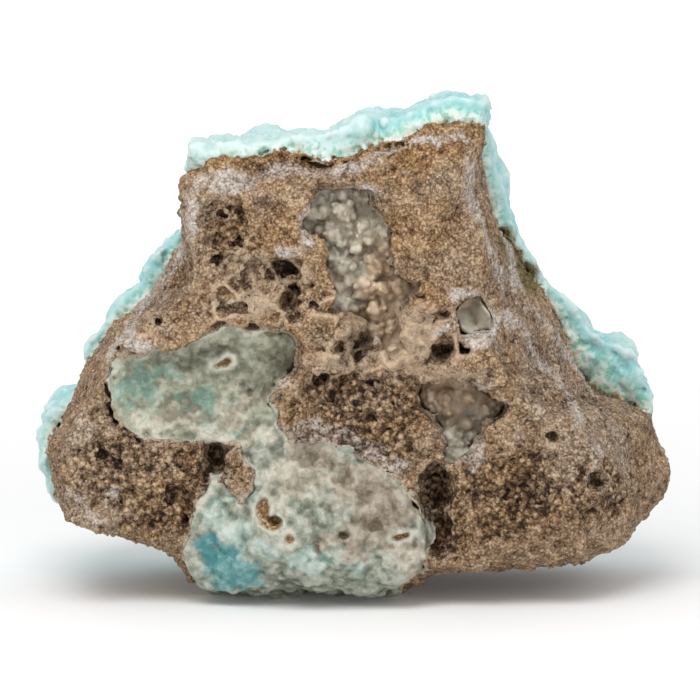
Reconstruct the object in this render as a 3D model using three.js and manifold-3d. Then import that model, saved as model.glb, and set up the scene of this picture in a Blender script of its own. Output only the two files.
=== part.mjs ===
// A hand specimen of blue aragonite, standing on its broken edge: a block of brown, spongy host rock with a
// rind of sky-blue aragonite over its top, its flanks and the whole of its back, and hollows in its broken
// front that pale aragonite has lined. Millimetres; +X right, +Y away from the broken front, +Z up.
import * as THREE from 'three';
import { mergeVertices } from 'three/addons/utils/BufferGeometryUtils.js';
import { ImprovedNoise } from 'three/addons/math/ImprovedNoise.js';
import Module from 'manifold-3d';

const wasm = await Module();
wasm.setup();
const noise = new ImprovedNoise();

// Driving dimensions. The outlines below are 124 mm wide and 98 mm high over all.
const FACE_Y = -27;          // the broken front face of the rock
const ROCK_BACK_Y = 25;      // where the rock ends and the rind on its back begins
const RIND_BACK_Y = 33;      // the back of the rind, without its mounds
const LEAN = 13;             // how far the back leans forwards from its middle to its top
const LINING_BACK_Y = -7;    // the floor of the large hollow in the front
const MIDDLE = { x: 0, z: 45 };
const GAP = 0.3;             // left between pieces that touch
const LONGEST_EDGE = 7;      // longer stretches of an outline get a point in between

// The rock's outline, clockwise from the top left as seen from the front: x, z, the depth y at which it is
// widest there, and how far in towards the middle the rim of the front face lies. Below z = 0 it is cut off
// flat, and how far it reaches below sets how far back the rock rests on the ground.
const ROCK_OUTLINE = [
  [-31.6, 80.7, -20, 3], [-28.5, 82.9, -25, 1], [-24, 84.8, -26, 1], [-14, 85.7, -26, 1],
  [-7.9, 85.2, -26, 1], [-5.1, 84, -26, 1], [-0.9, 85.3, -26, 1], [5.6, 88.2, -26, 1],
  [14, 90.4, -26, 1], [21.1, 91.5, -26, 1], [24.6, 90.3, -24, 2], [24.6, 85.9, -18, 3],
  [24.9, 80.1, -16, 4], [27.1, 75.4, -14, 5], [28.5, 70.9, -12, 6], [32, 68.4, -8, 9],
  [34.4, 63.6, -6, 11], [38, 56.6, -5, 13], [42, 48.2, -3, 14], [44.3, 42.2, -2, 14],
  [48.2, 37.2, 0, 15], [53.4, 35.2, 2, 17], [59.9, 32.4, 4, 18], [61.6, 28.2, 3, 18],
  [62.4, 22.3, 2, 17], [61.2, 16.9, 1, 15], [58.2, 13.3, 0, 12], [53.4, 7.7, -1, 9],
  [48.2, 6, -3, 6], [38, 5.3, -7, 5], [26.1, 5.2, -11, 4], [15.5, 4.2, -12, 3],
  [11.2, 1.2, -12, 3], [6.4, -4.5, -12, 3], [-9.7, -5.5, -12, 3], [-24.6, -4.5, -12, 3],
  [-28.4, 0.9, -12, 3], [-32.4, 6, -10, 3], [-38.9, 8.8, -8, 3], [-45.8, 11.1, -6, 4],
  [-51.1, 12.7, -5, 4], [-55.9, 14.7, -4, 4], [-57.2, 18.7, -4, 4], [-57.4, 22.8, -4, 4],
  [-58.8, 27.4, -3, 4], [-57, 30.9, -3, 4], [-54.4, 36.4, -3, 4], [-51.7, 42.9, -5, 5],
  [-48.8, 47.3, -6, 5], [-46.6, 51.1, -7, 5], [-38.9, 57.9, -9, 5], [-35, 62, -10, 5],
  [-33.3, 65.9, -13, 4], [-32.6, 70.5, -15, 3], [-32.3, 75.8, -17, 3],
];

// The rind's outline in the same order: x, z, and the depth y at which its broken edge faces forwards.
// Where it lies inside the rock's outline, the rind starts behind it.
const RIND_OUTLINE = [
  [-31.1, 88.2, -24], [-25.3, 88.7, -25], [-17.8, 88.9, -25], [-11.2, 89.6, -25], [-1.9, 90.7, -25],
  [0.7, 91.9, -25], [3, 93.5, -25], [8.8, 93.5, -25], [13.1, 95.2, -25], [18.7, 97.6, -25],
  [22.8, 96.7, -25], [27.2, 96.9, -24], [27, 93.5, -19], [26.4, 90.5, -15], [28.3, 87.5, -12],
  [29.1, 84.2, -10], [28.6, 82.6, -9], [30.4, 79.2, -8], [31.7, 73.1, -6], [33.7, 67.6, -4],
  [36.9, 64.5, -2], [38.4, 60.9, -1], [41.4, 57.7, 0], [46, 53.3, 1], [50.2, 48.3, 2],
  [56.3, 46.2, 3], [57.6, 41.7, 4], [60.3, 37.6, 5], [60.1, 33.2, 7], [60.6, 25, 12],
  [59.8, 17.5, 15], [55.9, 11.6, 17], [50, 8.5, 18], [38.4, 6.5, 20], [24.3, 5, 21],
  [10.1, 4, 21], [-6.1, 3.5, 21], [-22.3, 4, 20], [-36.2, 7.5, 16], [-47.7, 10.9, 8],
  [-56.2, 13.7, 0], [-59.2, 17.2, -1], [-60.9, 22.8, -1], [-61.8, 29.3, -1], [-60.8, 33.4, -1],
  [-58.2, 35.4, 1], [-55, 36.7, 5], [-52.6, 41.7, 2], [-52, 46.7, 2], [-47.8, 52.4, 2],
  [-45.2, 57.1, 2], [-41.7, 59.9, 2], [-41.3, 62, 2], [-39.1, 64.6, 2], [-35.8, 67.5, 2],
  [-33.3, 70, 3], [-31.9, 74.5, 3], [-31.3, 79.4, -8], [-31.4, 83.5, -20],
];

// The rims of the lined hollows in the front face: x, z.
const LARGE_HOLLOW = [
  [-45.4, 45.6], [-44.1, 47.1], [-39.9, 48.3], [-37.3, 49.6], [-32.7, 49], [-28, 51.1],
  [-23.9, 53.4], [-16.6, 52.6], [-11.3, 52.1], [-9.2, 50], [-10, 47.5], [-9.2, 45.1],
  [-13.2, 42.6], [-15.5, 39.2], [-12.8, 37.5], [-14.1, 35], [-10.9, 31], [-6.6, 31.4],
  [0.4, 29.1], [7.7, 25.1], [12.7, 19.8], [15.9, 14.2], [13.1, 9], [14.8, 7.5],
  [11.2, 6.4], [9.9, 4.1], [9.1, -0.9], [-27.3, -0.9], [-28.4, 3.3], [-30.7, 8.5],
  [-30.9, 11.5], [-28.9, 19.6], [-25.5, 24.3], [-23.6, 25.1], [-22.7, 22], [-20.6, 21.3],
  [-18.3, 22.6], [-17.6, 26.1], [-19.6, 28.1], [-20.6, 30.2], [-26.2, 31.6], [-30.2, 31.4],
  [-33.6, 31.8], [-40.2, 32.9], [-42.6, 35], [-44.5, 37.5], [-45.2, 39.6],
];
const UPPER_HOLLOW = [
  [-5.8, 79.7], [-0.9, 79.4], [4.1, 78.4], [3.6, 76.4], [7.1, 72], [7.1, 68.7],
  [8.8, 62.6], [13.1, 61.5], [14.7, 58.9], [10.5, 57], [9.6, 54.3], [10.2, 49.6],
  [8.5, 46.8], [6.2, 47.7], [4.9, 50.9], [2.6, 54.1], [-0.6, 55.3], [-3.4, 56.4],
  [-2.4, 59], [-4.9, 65.6], [-5.4, 69.4], [-8.4, 70.7], [-9.4, 72.6], [-7.9, 76.4],
];
const RIGHT_HOLLOW = [
  [13.4, 42.2], [15.6, 43.7], [18.3, 44.9], [22.2, 44.1], [24.9, 41.5], [27.1, 39.9],
  [30.2, 38.4], [28.7, 35.9], [25.7, 34.4], [24.9, 32.3], [23.4, 30.2], [21, 28.5],
  [18.7, 26.8], [17.6, 28.1], [18.7, 31.4], [17.2, 33.7], [15.7, 35.9], [13.4, 37.5], [13, 39.9],
];
const SMALL_POCKET = [
  [19.7, 56], [20.9, 57.7], [22.6, 58.5], [24.6, 59.2], [26.3, 56.6], [27.1, 54.7],
  [26.3, 52.6], [23.7, 51.5], [20.9, 51.9], [20.5, 54.1],
];

// Bare pits in the front face: x, z, half width, half height, depth.
const PITS = [
  [16.9, 48.2, 2.3, 1.8, 8], [21.2, 49.1, 1.1, 1, 5], [2.3, 50.1, 4, 3, 8], [-25.8, 28.3, 2.4, 4.2, 9],
  [16.6, 21.8, 3.4, 6.2, 10], [-12.2, 64.6, 4.2, 2.3, 5], [-10.9, 58, 1.9, 1.7, 5], [-24, 72.7, 4.6, 5.4, 3],
  [-35.7, 54.4, 1.6, 1, 4], [-1.5, 42, 8.6, 3.8, 3.2], [33, 22, 4.2, 3.4, 3], [47, 17, 3.4, 4.2, 3],
];

const clamp01 = (t) => Math.min(Math.max(t, 0), 1);
const smooth = (t) => clamp01(t) ** 2 * (3 - 2 * clamp01(t));
const rough = (p, size, height) => height * noise.noise(p.x / size + 7.3, p.y / size + 2.1, p.z / size + 4.7);

// How far the back has come forwards at height z: a wide belly, leaning to the top and tucked in below.
const lean = (z) => LEAN * smooth((z - 38) / 60) + 5 * smooth((16 - z) / 16);

// Height from 0 to 1 of a field of rounded lumps, one in each cell of a jittered lattice.
function lumps(p, size) {
  const cell = [p.x, p.y, p.z].map((v) => Math.floor(v / size));
  let nearest = Infinity;
  for (let i = -1; i <= 1; i++) for (let j = -1; j <= 1; j++) for (let k = -1; k <= 1; k++) {
    const at = new THREE.Vector3(cell[0] + i, cell[1] + j, cell[2] + k);
    const shift = [1.7, 5.3, 9.1].map((s) => 0.5 + 0.45 * Math.sin(at.x * 12.9 * s + at.y * 78.2 + at.z * 37.7 * s));
    at.add(new THREE.Vector3(...shift)).multiplyScalar(size);
    nearest = Math.min(nearest, at.distanceTo(p));
  }
  return Math.sqrt(Math.max(0, 1 - (nearest / size) ** 2));
}

// Adds a point in the middle of each long stretch of a closed outline, with every column averaged.
function refine(rows) {
  return rows.flatMap((row, i) => {
    const next = rows[(i + 1) % rows.length];
    const far = Math.hypot(next[0] - row[0], next[1] - row[1]) > LONGEST_EDGE;
    return far ? [row, row.map((v, k) => (v + next[k]) / 2)] : [row];
  });
}

// The point `inset` mm in from an outline's point towards the middle, at depth y.
function inward([x, z], inset, y) {
  const dx = x - MIDDLE.x;
  const dz = z - MIDDLE.z;
  const keep = 1 - inset / Math.hypot(dx, dz);
  return new THREE.Vector3(MIDDLE.x + dx * keep, y, MIDDLE.z + dz * keep);
}

// A closed skin over rings of equally many points, clockwise and from front to back, with its two end points.
function skin(rings, front, back) {
  const count = rings[0].length;
  const points = [front, ...rings.flat(), back];
  const faces = [];
  const at = (ring, i) => 1 + ring * count + (i % count);
  for (let i = 0; i < count; i++) {
    faces.push(0, at(0, i + 1), at(0, i));
    for (let r = 0; r < rings.length - 1; r++) {
      faces.push(at(r, i), at(r, i + 1), at(r + 1, i + 1));
      faces.push(at(r, i), at(r + 1, i + 1), at(r + 1, i));
    }
    faces.push(points.length - 1, at(rings.length - 1, i), at(rings.length - 1, i + 1));
  }
  return new THREE.BufferGeometry().setFromPoints(points).setIndex(faces);
}

// Pushes every point of a skin out along its normal.
function grown(geometry, distance) {
  const result = geometry.clone();
  result.computeVertexNormals();
  const { position, normal } = result.attributes;
  for (let i = 0; i < position.count; i++) {
    const p = new THREE.Vector3().fromBufferAttribute(position, i);
    const n = new THREE.Vector3().fromBufferAttribute(normal, i);
    position.setXYZ(i, ...p.addScaledVector(n, distance).toArray());
  }
  return result;
}

function solid(geometry) {
  const bare = geometry.clone();
  bare.deleteAttribute('normal');
  bare.deleteAttribute('uv');
  const { attributes, index } = mergeVertices(bare, 1e-4);
  return new wasm.Manifold(new wasm.Mesh({
    numProp: 3, vertProperties: attributes.position.array, triVerts: new Uint32Array(index.array),
  }));
}

// The largest body of a solid, which leaves crumbs of a cut behind.
function mainBody(shape) {
  return shape.decompose().reduce((a, b) => (b.volume() > a.volume() ? b : a));
}

function piece(name, shape, color, roughness) {
  const { vertProperties, triVerts } = mainBody(shape).getMesh();
  const geometry = new THREE.BufferGeometry();
  geometry.setAttribute('position', new THREE.BufferAttribute(vertProperties, 3));
  geometry.setIndex(new THREE.BufferAttribute(triVerts, 1));
  geometry.computeVertexNormals();
  const material = new THREE.MeshStandardMaterial({ color, roughness, metalness: 0, flatShading: true });
  const mesh = new THREE.Mesh(geometry, material);
  mesh.name = name;
  return mesh;
}

// A slab over a box in x and z. `surface(x, z)` is the depth y of its shaped side and `far` that of the other.
function reliefSlab(box, cell, surface, far) {
  const size = box.getSize(new THREE.Vector2());
  const middle = box.getCenter(new THREE.Vector2());
  const [across, up] = [size.x, size.y].map((length) => Math.ceil(length / cell));
  const slab = new THREE.BoxGeometry(size.x, 2, size.y, across, 1, up).translate(middle.x, 0, middle.y);
  const facing = Math.sign(surface(middle.x, middle.y) - far);
  const { position } = slab.attributes;
  for (let i = 0; i < position.count; i++) {
    const p = new THREE.Vector3(position.getX(i), 0, position.getZ(i));
    const x = p.x + rough(p, 3.1, 0.45 * cell);
    const z = p.z + rough(p, 3.7, 0.45 * cell);
    position.setXYZ(i, x, position.getY(i) * facing > 0 ? surface(x, z) : far, z);
  }
  return solid(slab);
}

// The box of an outline in x and z, with `margin` around it.
function boxOf(outline, margin) {
  return new THREE.Box2().setFromPoints(outline.map(([x, z]) => new THREE.Vector2(x, z))).expandByScalar(margin);
}

// How far a point is from an outline.
function toRim(outline, x, z) {
  return Math.min(...outline.map(([ax, az], i) => {
    const [bx, bz] = outline.at(i - 1);
    const [dx, dz] = [bx - ax, bz - az];
    const t = clamp01(((x - ax) * dx + (z - az) * dz) / (dx * dx + dz * dz));
    return Math.hypot(x - ax - t * dx, z - az - t * dz);
  }));
}

// The host rock's flanks and back, open-ended to the front: they widen behind the face and close in again.
function rockFlanks() {
  const rows = refine(ROCK_OUTLINE);
  const backY = (row) => ROCK_BACK_Y - lean(row[1]);
  const rim = (row) => inward(row, row[3], FACE_Y + 0.6 + 0.05 * row[3]);
  const widest = (row) => inward(row, 0, row[2]);
  const behind = (row, inset, share) => inward(row, inset, THREE.MathUtils.lerp(row[2], backY(row), share));
  const front = new THREE.Vector3(MIDDLE.x, FACE_Y - 12, MIDDLE.z);
  const back = new THREE.Vector3(MIDDLE.x, ROCK_BACK_Y, MIDDLE.z);
  const ring = (shape, height) => rows.map((row) => {
    const p = shape(row);
    const away = new THREE.Vector3(p.x - MIDDLE.x, 0, p.z - MIDDLE.z).normalize();
    return p.addScaledVector(away, rough(p, 9, height));
  });
  const rings = [
    rows.map((row) => inward(row, row[3], FACE_Y - 12)),
    ring(rim, 1.2),
    ring((row) => rim(row).lerp(widest(row), 0.5).lerp(inward(row, 0, FACE_Y), 0.12), 1.6),
    ring(widest, 1.2),
    ring((row) => behind(row, 1, 0.4), 2.4),
    ring((row) => behind(row, 3, 0.75), 2.4),
    ring((row) => behind(row, 9, 1), 1.2),
    rows.map((row) => back.clone().lerp(inward(row, 9, 0), 0.5).setY(ROCK_BACK_Y - lean((row[1] + MIDDLE.z) / 2))),
  ];
  return skin(rings, front, back);
}

// The broken front of the rock: granular ledges that round off towards the rim.
function rockFace(x, z) {
  const p = new THREE.Vector3(x, 0, z);
  const rounding = 3 * (1 - smooth(toRim(ROCK_OUTLINE, x, z) / 7)) ** 2;
  return FACE_Y + rounding + rough(p, 17, 2.6) + rough(p, 6, 2) + 0.8 - 1.6 * lumps(p, 8);
}

// The rind's flanks, open-ended to the back: rounded lumps that stay inside its outline.
function rindFlanks() {
  const rows = refine(RIND_OUTLINE);
  const lumpy = (p, height) => {
    const away = new THREE.Vector3(p.x - MIDDLE.x, 0, p.z - MIDDLE.z).normalize();
    return p.addScaledVector(away, height * (lumps(p, 13) - 0.85) + rough(p, 7, 0.8));
  };
  const side = (row, share) => {
    const y = THREE.MathUtils.lerp(row[2], rindBack(row[1]), share);
    return lumpy(inward(row, 4 * share ** 3, y), 5 * smooth(5 * share));
  };
  const rings = [
    rows.map((row) => inward(row, 14, row[2] + 1.5)),
    rows.map((row) => inward(row, 0, row[2])),
    ...[0.14, 0.29, 0.44, 0.59, 0.74, 0.89].map((share) => rows.map((row) => side(row, share))),
    rows.map((row) => inward(row, 6, RIND_BACK_Y + 12)),
  ];
  const inside = new THREE.Vector3(MIDDLE.x, 6, MIDDLE.z);
  return skin(rings, inside, new THREE.Vector3(MIDDLE.x, RIND_BACK_Y + 12, MIDDLE.z));
}

// The rind's back: broad round mounds that slope away to its outline.
const rindBack = (z) => RIND_BACK_Y - lean(z);
function rindFace(x, z) {
  const p = new THREE.Vector3(x, 40, z);
  const rounding = 9 * (1 - smooth(toRim(RIND_OUTLINE, x, z) / 17)) ** 2;
  return rindBack(z) - rounding + 7 * (lumps(p, 17) - 0.7) + 2.2 * lumps(p, 8) + rough(p, 9, 1.2);
}

// An outline moved outwards by `distance`, for a hollow that clears the lining in it.
function widened(outline, distance) {
  return outline.map(([x, z], i) => {
    const [ax, az] = outline.at(i - 1);
    const [bx, bz] = outline[(i + 1) % outline.length];
    const length = Math.hypot(bx - ax, bz - az);
    return [x - (bz - az) / length * distance, z + (bx - ax) / length * distance];
  });
}

// A prism over an outline, from depth y `back` forwards to y `front`.
function prism(outline, back, front) {
  const shape = new THREE.Shape(outline.map(([x, z]) => new THREE.Vector2(x, z)));
  const geometry = new THREE.ExtrudeGeometry(shape, { depth: back - front, bevelEnabled: false });
  return solid(geometry.rotateX(Math.PI / 2).translate(0, back, 0));
}

// The aragonite that lines one hollow: a slab with a shaped front, trimmed to the hollow's rim, with round
// lumps grown on it. `surface(x, z)` is the depth y of its front.
function lining({ outline, back, surface, cell, balls = [] }) {
  const grownOver = balls.map(([x, z, radius], i) => {
    const ball = new THREE.IcosahedronGeometry(radius, 1).rotateX(i).rotateZ(2 * i);
    return solid(ball.translate(x, surface(x, z) + 0.2 * radius, z));
  });
  const slab = reliefSlab(boxOf(outline, 2), cell, surface, back);
  return grownOver.reduce((sum, ball) => sum.add(ball), slab).intersect(prism(outline, back + 1, FACE_Y - 20));
}

// Balls spread evenly over an outline and kept clear of its rim: [x, z, radius] each.
function scatter(outline, tries, smallest, largest) {
  const box = boxOf(outline, 0);
  const inside = (x, z) => outline.reduce((odd, [ax, az], i) => {
    const [bx, bz] = outline.at(i - 1);
    return (az > z) !== (bz > z) && x < ax + (bx - ax) * (z - az) / (bz - az) ? !odd : odd;
  }, false);
  const placed = [];
  for (let i = 1; i <= tries; i++) {
    const x = THREE.MathUtils.lerp(box.min.x, box.max.x, (i * 0.7549) % 1);
    const z = THREE.MathUtils.lerp(box.min.y, box.max.y, (i * 0.5698) % 1);
    const radius = THREE.MathUtils.lerp(smallest, largest, (i * 0.618) % 1);
    const clear = [[radius, 0], [-radius, 0], [0, radius], [0, -radius]].every(([dx, dz]) => inside(x + dx, z + dz));
    const apart = placed.every(([px, pz, r]) => Math.hypot(px - x, pz - z) > 0.75 * (r + radius));
    if (clear && apart) placed.push([x, z, radius]);
  }
  return placed;
}

// The pale mass: recessed in its left lobe, a bulge proud of the rock below, and curved under where it rests.
function largeSurface(x, z) {
  const p = new THREE.Vector3(x, 0, z);
  const bulge = 8.5 * Math.exp(-(((x + 5) / 21) ** 2) - ((z - 12) / 12) ** 2);
  const recess = 4.5 * Math.exp(-(((x + 22) / 20) ** 2) - ((z - 42) / 8) ** 2);
  const under = 15 * (1 - smooth((z + 0.5) / 7)) ** 2;
  return FACE_Y + 4.5 + recess - bulge + under + rough(p, 7, 2) - 3.6 * lumps(p, 11);
}
const upperSurface = (x, z) => FACE_Y + 6.5 + rough(new THREE.Vector3(x, 0, z), 6, 2);
const rightSurface = (x, z) => FACE_Y + 6 - 3.5 * smooth((33 - z) / 7) + rough(new THREE.Vector3(x, 0, z), 5, 1);
const pocketSurface = (x, z) => FACE_Y + 5 - 1.1 * Math.abs(x - 23.5 + 0.6 * (z - 55));

const LININGS = [
  { name: 'large_hollow_lining', color: 0xc3c9b9, outline: LARGE_HOLLOW, back: LINING_BACK_Y,
    surface: largeSurface, cell: 3.4 },
  { name: 'upper_hollow_lining', color: 0xa9a795, outline: UPPER_HOLLOW, back: FACE_Y + 12,
    surface: upperSurface, cell: 4, balls: scatter(UPPER_HOLLOW, 60, 1.9, 2.8) },
  { name: 'right_hollow_lining', color: 0xa3a092, outline: RIGHT_HOLLOW, back: FACE_Y + 11,
    surface: rightSurface, cell: 3, balls: scatter(RIGHT_HOLLOW, 40, 1.5, 2.1) },
  { name: 'small_pocket_lining', color: 0xc9cfc6, outline: SMALL_POCKET, back: FACE_Y + 9,
    surface: pocketSurface, cell: 2 },
];

const ground = solid(new THREE.BoxGeometry(200, 200, 20).translate(0, 0, -10));
const flanks = rockFlanks();
const face = reliefSlab(boxOf(ROCK_OUTLINE, 3), 5.2, rockFace, ROCK_BACK_Y + 10);

const pits = PITS.map(([x, z, width, height, depth], i) => {
  const pit = new THREE.IcosahedronGeometry(1, 1).rotateY(i).scale(width, depth, height);
  return solid(pit.translate(x, FACE_Y, z));
});
const hollows = LININGS.map(({ outline, back }) => prism(widened(outline, GAP), back + GAP, FACE_Y - 20));
const block = solid(flanks).intersect(face);
const hostRock = [...pits, ...hollows, ground].reduce((rest, cut) => rest.subtract(cut), block);
const rind = solid(rindFlanks()).intersect(reliefSlab(boxOf(RIND_OUTLINE, 3), 5.4, rindFace, FACE_Y - 5))
  .subtract(solid(grown(flanks, GAP + 0.1))).subtract(ground);

const specimen = new THREE.Group();
specimen.add(piece('host_rock', hostRock, 0x8b6b50, 0.95));
specimen.add(piece('blue_rind', rind, 0x9fdcdb, 0.45));
for (const part of LININGS) {
  specimen.add(piece(part.name, lining(part).subtract(ground), part.color, 0.4));
}

// The origin is on the ground, under the middle of the specimen's box.
const box = new THREE.Box3().setFromObject(specimen);
const centre = box.getCenter(new THREE.Vector3());
specimen.position.set(-centre.x, -centre.y, -box.min.z);

export default specimen;
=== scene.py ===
import bpy
import numpy as np
import openvdb as vdb
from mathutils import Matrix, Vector


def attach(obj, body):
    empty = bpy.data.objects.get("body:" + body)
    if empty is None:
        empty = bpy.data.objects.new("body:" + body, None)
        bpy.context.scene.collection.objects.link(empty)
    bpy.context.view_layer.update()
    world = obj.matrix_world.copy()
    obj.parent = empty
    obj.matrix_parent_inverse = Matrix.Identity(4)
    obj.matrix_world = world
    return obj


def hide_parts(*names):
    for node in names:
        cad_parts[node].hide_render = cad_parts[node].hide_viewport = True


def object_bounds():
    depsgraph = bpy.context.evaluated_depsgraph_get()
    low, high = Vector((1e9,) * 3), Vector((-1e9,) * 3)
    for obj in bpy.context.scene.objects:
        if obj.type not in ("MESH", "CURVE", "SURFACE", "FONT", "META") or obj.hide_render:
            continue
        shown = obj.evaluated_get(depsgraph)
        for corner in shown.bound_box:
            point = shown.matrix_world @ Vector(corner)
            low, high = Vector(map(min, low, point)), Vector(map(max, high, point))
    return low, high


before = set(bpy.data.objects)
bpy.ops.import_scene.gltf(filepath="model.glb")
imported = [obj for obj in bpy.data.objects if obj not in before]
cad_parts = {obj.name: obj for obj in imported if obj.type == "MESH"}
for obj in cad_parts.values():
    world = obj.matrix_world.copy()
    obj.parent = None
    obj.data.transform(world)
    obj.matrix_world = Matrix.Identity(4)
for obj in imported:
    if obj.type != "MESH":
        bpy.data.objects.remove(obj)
solid_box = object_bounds()


# The camera looks along +Y from 6 degrees above level. A white floor, a white surround and two wide soft
# lamps, one above and one beside the camera, give the even light of a studio.
AIM = Vector((-0.0003, -0.0018, 0.0463))
camera = bpy.data.objects.new("camera", bpy.data.cameras.new("camera"))
camera.data.lens = 184.1
camera.data.sensor_width = 36
camera.data.clip_start = 0.01
camera.location = AIM + Vector((0, -0.6962, 0.0732))
camera.rotation_euler = (AIM - camera.location).to_track_quat("-Z", "Y").to_euler()
bpy.context.scene.collection.objects.link(camera)
bpy.context.scene.camera = camera
bpy.context.scene.view_settings.view_transform = "Standard"

for lamp_name, place, width, power in [
        ("lamp_above", (-0.12, -0.42, 0.62), 0.45, 3.0), ("lamp_front", (0.35, -0.75, 0.3), 0.6, 0.7)]:
    lamp = bpy.data.objects.new(lamp_name, bpy.data.lights.new(lamp_name, "AREA"))
    lamp.data.energy = power
    lamp.data.size = width
    lamp.location = place
    lamp.rotation_euler = (Vector((0, 0, 0.04)) - lamp.location).to_track_quat("-Z", "Y").to_euler()
    bpy.context.scene.collection.objects.link(lamp)

surround = bpy.data.worlds.new("surround")
surround.use_nodes = True
bpy.context.scene.world = surround
backdrop = surround.node_tree.nodes["Background"]
backdrop.inputs["Color"].default_value = (1, 1, 1, 1)
seen = surround.node_tree.nodes.new("ShaderNodeLightPath")
strength = surround.node_tree.nodes.new("ShaderNodeMapRange")
strength.inputs["To Min"].default_value = 0.74
strength.inputs["To Max"].default_value = 1.05
surround.node_tree.links.new(seen.outputs["Is Camera Ray"], strength.inputs["Value"])
surround.node_tree.links.new(strength.outputs["Result"], backdrop.inputs["Strength"])

floor_mesh = bpy.data.meshes.new("floor")
floor_mesh.from_pydata([(-4, -4, 0), (4, -4, 0), (4, 8, 0), (-4, 8, 0)], [], [(0, 1, 2, 3)])
floor = bpy.data.objects.new("floor", floor_mesh)
bpy.context.scene.collection.objects.link(floor)
floor_paint = bpy.data.materials.new("floor_white")
floor_paint.use_nodes = True
floor_shader = floor_paint.node_tree.nodes["Principled BSDF"]
floor_shader.inputs["Base Color"].default_value = (0.9, 0.9, 0.9, 1)
floor_shader.inputs["Roughness"].default_value = 0.9
floor_shader.inputs["Specular IOR Level"].default_value = 0.1
floor_spot = floor_paint.node_tree.nodes.new("ShaderNodeTexCoord")
floor_reach = floor_paint.node_tree.nodes.new("ShaderNodeVectorMath")
floor_reach.operation = "LENGTH"
floor_glow = floor_paint.node_tree.nodes.new("ShaderNodeMapRange")
floor_glow.inputs["From Min"].default_value = 0.12
floor_glow.inputs["From Max"].default_value = 0.7
floor_glow.inputs["To Min"].default_value = 0.03
floor_glow.inputs["To Max"].default_value = 0.42
floor_paint.node_tree.links.new(floor_spot.outputs["Object"], floor_reach.inputs[0])
floor_paint.node_tree.links.new(floor_reach.outputs["Value"], floor_glow.inputs["Value"])
floor_paint.node_tree.links.new(floor_glow.outputs["Result"], floor_shader.inputs["Emission Color"])
floor_shader.inputs["Emission Strength"].default_value = 1.0
floor.data.materials.append(floor_paint)


# Host rock: a block of brown, iron-stained, spongy rock, broken flat at the front. It is one natural solid,
# granular all over, with pores, knobbly hollows, moulds of crystals and a milky vein near its rim.
class Form:
    """A solid as signed distances in mm on an even grid, negative inside it."""

    def __init__(self, values, corner, voxel):
        self.values, self.corner, self.voxel = values, corner, voxel

    def at(self, points):
        """The distance at each point, read between the grid's values."""
        place = (points.astype(np.float32) - self.corner.astype(np.float32)) / np.float32(self.voxel)
        place = np.clip(place, 0, np.array(self.values.shape, np.float32) - 1.001).T.copy()
        cell = place.astype(np.int32)
        _, wide, deep = self.values.shape
        return read_between(self.values.ravel(), (cell[0] * wide + cell[1]) * deep + cell[2],
                            wide * deep, deep, place - cell)

    def slope(self, points, step=0.6):
        """The direction away from the solid at each point."""
        rise = np.stack([self.at(points + shift) - self.at(points - shift) for shift in np.eye(3) * step],
                        axis=1)
        return rise / np.maximum(np.linalg.norm(rise, axis=1, keepdims=True), 1e-6)

    def points(self, found):
        return (self.corner + np.stack(found, axis=1) * self.voxel).astype(np.float32)

    def near(self, reach, seam=None):
        """The grid's indices within reach of the surface, and their points, on this side of a seam."""
        close = np.abs(self.values) < reach
        if seam is not None:
            close &= seam.values < 0.8
        found = np.nonzero(close)
        return found, self.points(found)

    def soften(self, passes, step=1):
        """Rounds facets and edges off."""
        for _ in range(passes):
            for axis in range(3):
                v = np.moveaxis(self.values, axis, 0)
                v[step:-step] = 0.25 * (v[:-2 * step] + v[2 * step:]) + 0.5 * v[step:-step]
        return self

    def copy(self):
        return Form(self.values.copy(), self.corner, self.voxel)

    def finer(self, voxel):
        """The same solid on a finer grid."""
        values = self.values
        for axis in range(3):
            place = np.arange(int((values.shape[axis] - 1) * self.voxel / voxel)) * voxel / self.voxel
            cell = place.astype(int)
            part = (place - cell).astype(np.float32).reshape([-1 if k == axis else 1 for k in range(3)])
            low = values.take(cell, axis)
            values = low + (values.take(cell + 1, axis) - low) * part
        return Form(values, self.corner, voxel)


def read_between(flat, first, step_x, step_y, part):
    """Reads a flattened grid at places that lie `part` of the way on from their first corners."""
    def along_z(shift):
        low = flat.take(first + shift)
        return low + (flat.take(first + shift + 1) - low) * part[2]

    def along_y(shift):
        low = along_z(shift)
        return low + (along_z(shift + step_y) - low) * part[1]

    low = along_y(0)
    return low + (along_y(step_x) - low) * part[0]


def form_of(node, voxel, reach):
    """A CAD node as a Form. All forms with the same voxel share one grid, around the whole specimen."""
    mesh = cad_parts[node].data
    points = np.empty(3 * len(mesh.vertices), np.float32)
    mesh.vertices.foreach_get("co", points)
    mesh.calc_loop_triangles()
    corners = np.empty(3 * len(mesh.loop_triangles), np.int32)
    mesh.loop_triangles.foreach_get("vertices", corners)
    grid = vdb.FloatGrid.createLevelSetFromPolygons(
        points.reshape(-1, 3) * 1000, triangles=corners.reshape(-1, 3).astype(np.uint32),
        transform=vdb.createLinearTransform(voxelSize=voxel), exBandWidth=reach / voxel,
        inBandWidth=reach / voxel)
    low, high = (np.array(corner) * 1000 for corner in solid_box)
    low, high = (np.floor((low - 4) / voxel).astype(int), np.ceil((high + 4) / voxel).astype(int))
    values = np.empty(tuple(high - low), np.float32)
    grid.copyToArray(values, ijk=tuple(int(v) for v in low))
    return Form(values, low * voxel, voxel)


def ramp01(values, start, end):
    t = np.clip((values - start) / (end - start), 0, 1)
    return t * t * (3 - 2 * t)


LATTICE = 32
TILT = np.array([[0.36, 0.48, -0.8], [-0.8, 0.6, 0.0], [0.48, 0.64, 0.6]], np.float32)


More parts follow.
